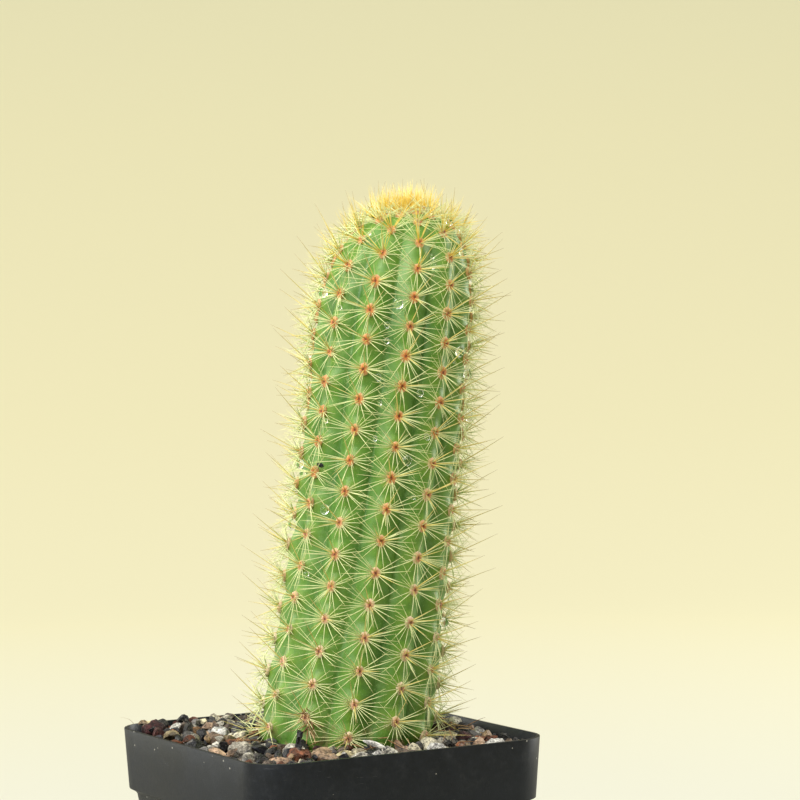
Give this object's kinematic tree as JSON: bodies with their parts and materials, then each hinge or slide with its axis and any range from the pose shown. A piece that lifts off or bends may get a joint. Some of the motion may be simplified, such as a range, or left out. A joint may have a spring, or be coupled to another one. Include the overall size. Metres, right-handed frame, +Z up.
{
  "type": "potted tall cactus",
  "caption": "Tall ribbed cactus with golden spines, growing in a square nursery pot under a loose gravel top dressing.",
  "frame": {"origin": "centre of the flat pad in the middle of the pot's underside, on the plane that the pot stands on", "axes": "+Z up along the pot's axis and the plant's height; +X and +Y square to the pot's sides; the plant leans towards +X and slightly towards -Y"},
  "size_m": [0.09, 0.09, 0.2352],
  "materials": {
    "black_plastic": "satin moulded, dusty and lightly scratched",
    "potting_mix": "damp gritty mineral soil",
    "cactus_skin": "waxy green plant skin with a soft gloss",
    "areole_felt": "short orange-brown felt",
    "radial_spine": "thin glassy pale yellow spines",
    "central_spine": "stiff golden spines with grey-brown tips",
    "water": "clear droplets",
    "pumice": "rough porous, dusty cream to white",
    "lava": "rough porous, dark red to orange brown",
    "granite": "speckled grey, matt",
    "charcoal": "black, faceted, slightly glossy breaks",
    "flint": "smooth tan to cream"
  },
  "bodies": {
    "root": {"cactus": "cactus_skin", "charcoal_01": "charcoal", "charcoal_02": "charcoal", "charcoal_03": "charcoal", "flint_01": "flint", "flint_02": "flint", "flint_03": "flint", "flint_04": "flint", "flint_05": "flint", "flint_06": "flint", "flint_07": "flint", "flint_08": "flint", "flint_09": "flint", "flint_10": "flint", "granite_01": "granite", "granite_02": "granite", "granite_03": "granite", "granite_04": "granite", "granite_05": "granite", "granite_06": "granite", "granite_07": "granite", "granite_08": "granite", "granite_09": "granite", "granite_10": "granite", "granite_11": "granite", "granite_12": "granite", "granite_13": "granite", "granite_14": "granite", "granite_15": "granite", "granite_16": "granite", "lava_01": "lava", "lava_02": "lava", "lava_03": "lava", "lava_04": "lava", "lava_05": "lava", "lava_06": "lava", "lava_07": "lava", "lava_08": "lava", "pot": "black_plastic", "potting_mix": "potting_mix", "pumice_01": "pumice", "pumice_02": "pumice", "pumice_03": "pumice", "pumice_04": "pumice", "pumice_05": "pumice", "pumice_06": "pumice", "pumice_07": "pumice", "pumice_08": "pumice", "pumice_09": "pumice", "pumice_10": "pumice", "pumice_11": "pumice", "pumice_12": "pumice", "pumice_13": "pumice", "pumice_14": "pumice", "pumice_15": "pumice"}
  },
  "joints": []
}
